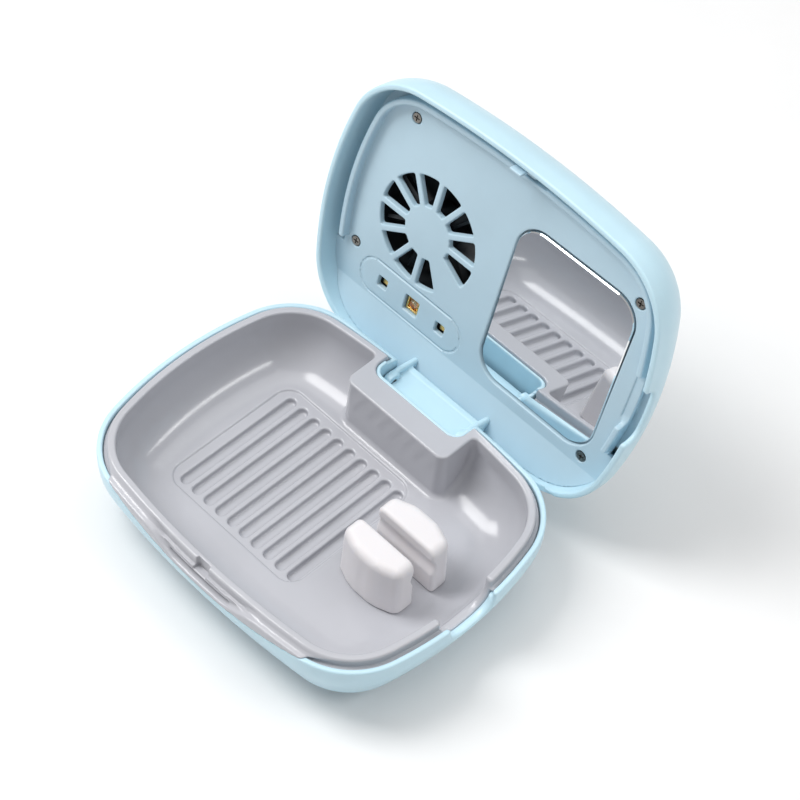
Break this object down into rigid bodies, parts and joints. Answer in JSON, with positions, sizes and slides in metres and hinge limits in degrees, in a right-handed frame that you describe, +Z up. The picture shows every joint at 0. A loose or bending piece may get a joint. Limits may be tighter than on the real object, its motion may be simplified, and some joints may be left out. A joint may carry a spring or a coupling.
{
  "type": "toothbrush sanitizer",
  "caption": "Pebble-shaped travel case that sanitizes a toothbrush head, with a lined tray and soft clip below a hinged lid holding a UV lamp, fan and mirror.",
  "frame": {"origin": "centre of the foot pad's underside, below the middle of the base", "axes": "+Z up, X along the hinge with the brush notch on +X, -Y is the front with the thumb recess, lid open at rest"},
  "size_m": [0.09, 0.0993, 0.077],
  "materials": {
    "shell_blue": "satin moulded",
    "panel_blue": "satin moulded",
    "liner_gray": "glossy moulded",
    "pad_rubber": "matt",
    "steel_plate": "zinc plated",
    "steel_pin": "ground",
    "silicone_white": "matt silicone",
    "mirror_glass": "polished",
    "screw_nickel": "nickel plated",
    "fan_black": "moulded",
    "board_white": "solder mask",
    "board_green": "solder mask",
    "led_gold": "gold plated",
    "lens_glass": "clear",
    "battery_foil": "foil pouch",
    "port_steel": "stamped",
    "switch_black": "moulded",
    "button_white": "satin",
    "pipe_clear": "frosted"
  },
  "bodies": {
    "base": {"base_shell": "shell_blue", "foot_pad": "pad_rubber", "weight_plate": "steel_plate", "tray_liner": "liner_gray", "hinge_pins": "steel_pin"},
    "jaw_front": {"clip_jaw_front": "silicone_white"},
    "jaw_rear": {"clip_jaw_rear": "silicone_white"},
    "lid": {"lid_shell": "shell_blue", "lid_panel": "panel_blue", "mirror": "mirror_glass", "latch_tab": "panel_blue", "panel_screws": "screw_nickel", "fan_frame": "fan_black", "led_board": "board_white", "uvc_led": "led_gold", "uvc_lens": "lens_glass", "side_leds": "led_gold", "main_board": "board_green", "battery": "battery_foil", "usb_port": "port_steel", "tact_switch": "switch_black", "light_pipe": "pipe_clear"},
    "rotor": {"fan_rotor": "fan_black"},
    "button": {"power_button": "button_white"}
  },
  "joints": [
    {"name": "lid_hinge", "type": "hinge", "parent": "base", "child": "lid", "pos_m": [0, 0.0313, 0.0137], "axis": [1, 0, 0], "range_deg": [0, 104]},
    {"name": "fan_spin", "type": "hinge", "parent": "lid", "child": "rotor", "pos_m": [-0.0192, 0.0518, 0.04095], "axis": [0, 0.9703, -0.2419], "continuous": true},
    {"name": "button_press", "type": "slide", "parent": "lid", "child": "button", "axis": [0, -0.9703, 0.2419], "range_m": [0, 0.0004], "stiffness_N_per_m": 200, "springref_m": -0.0005},
    {"name": "jaw_front_flex", "type": "hinge", "parent": "base", "child": "jaw_front", "pos_m": [0.0221, -0.0081, 0.0059], "axis": [1, 0, 0], "range_deg": [0, 6], "stiffness_Nm_per_rad": 0.1, "springref_deg": -2.86},
    {"name": "jaw_rear_flex", "type": "hinge", "parent": "base", "child": "jaw_rear", "pos_m": [0.0221, 0.0091, 0.0059], "axis": [-1, 0, 0], "range_deg": [0, 6], "stiffness_Nm_per_rad": 0.1, "springref_deg": -2.86}
  ]
}
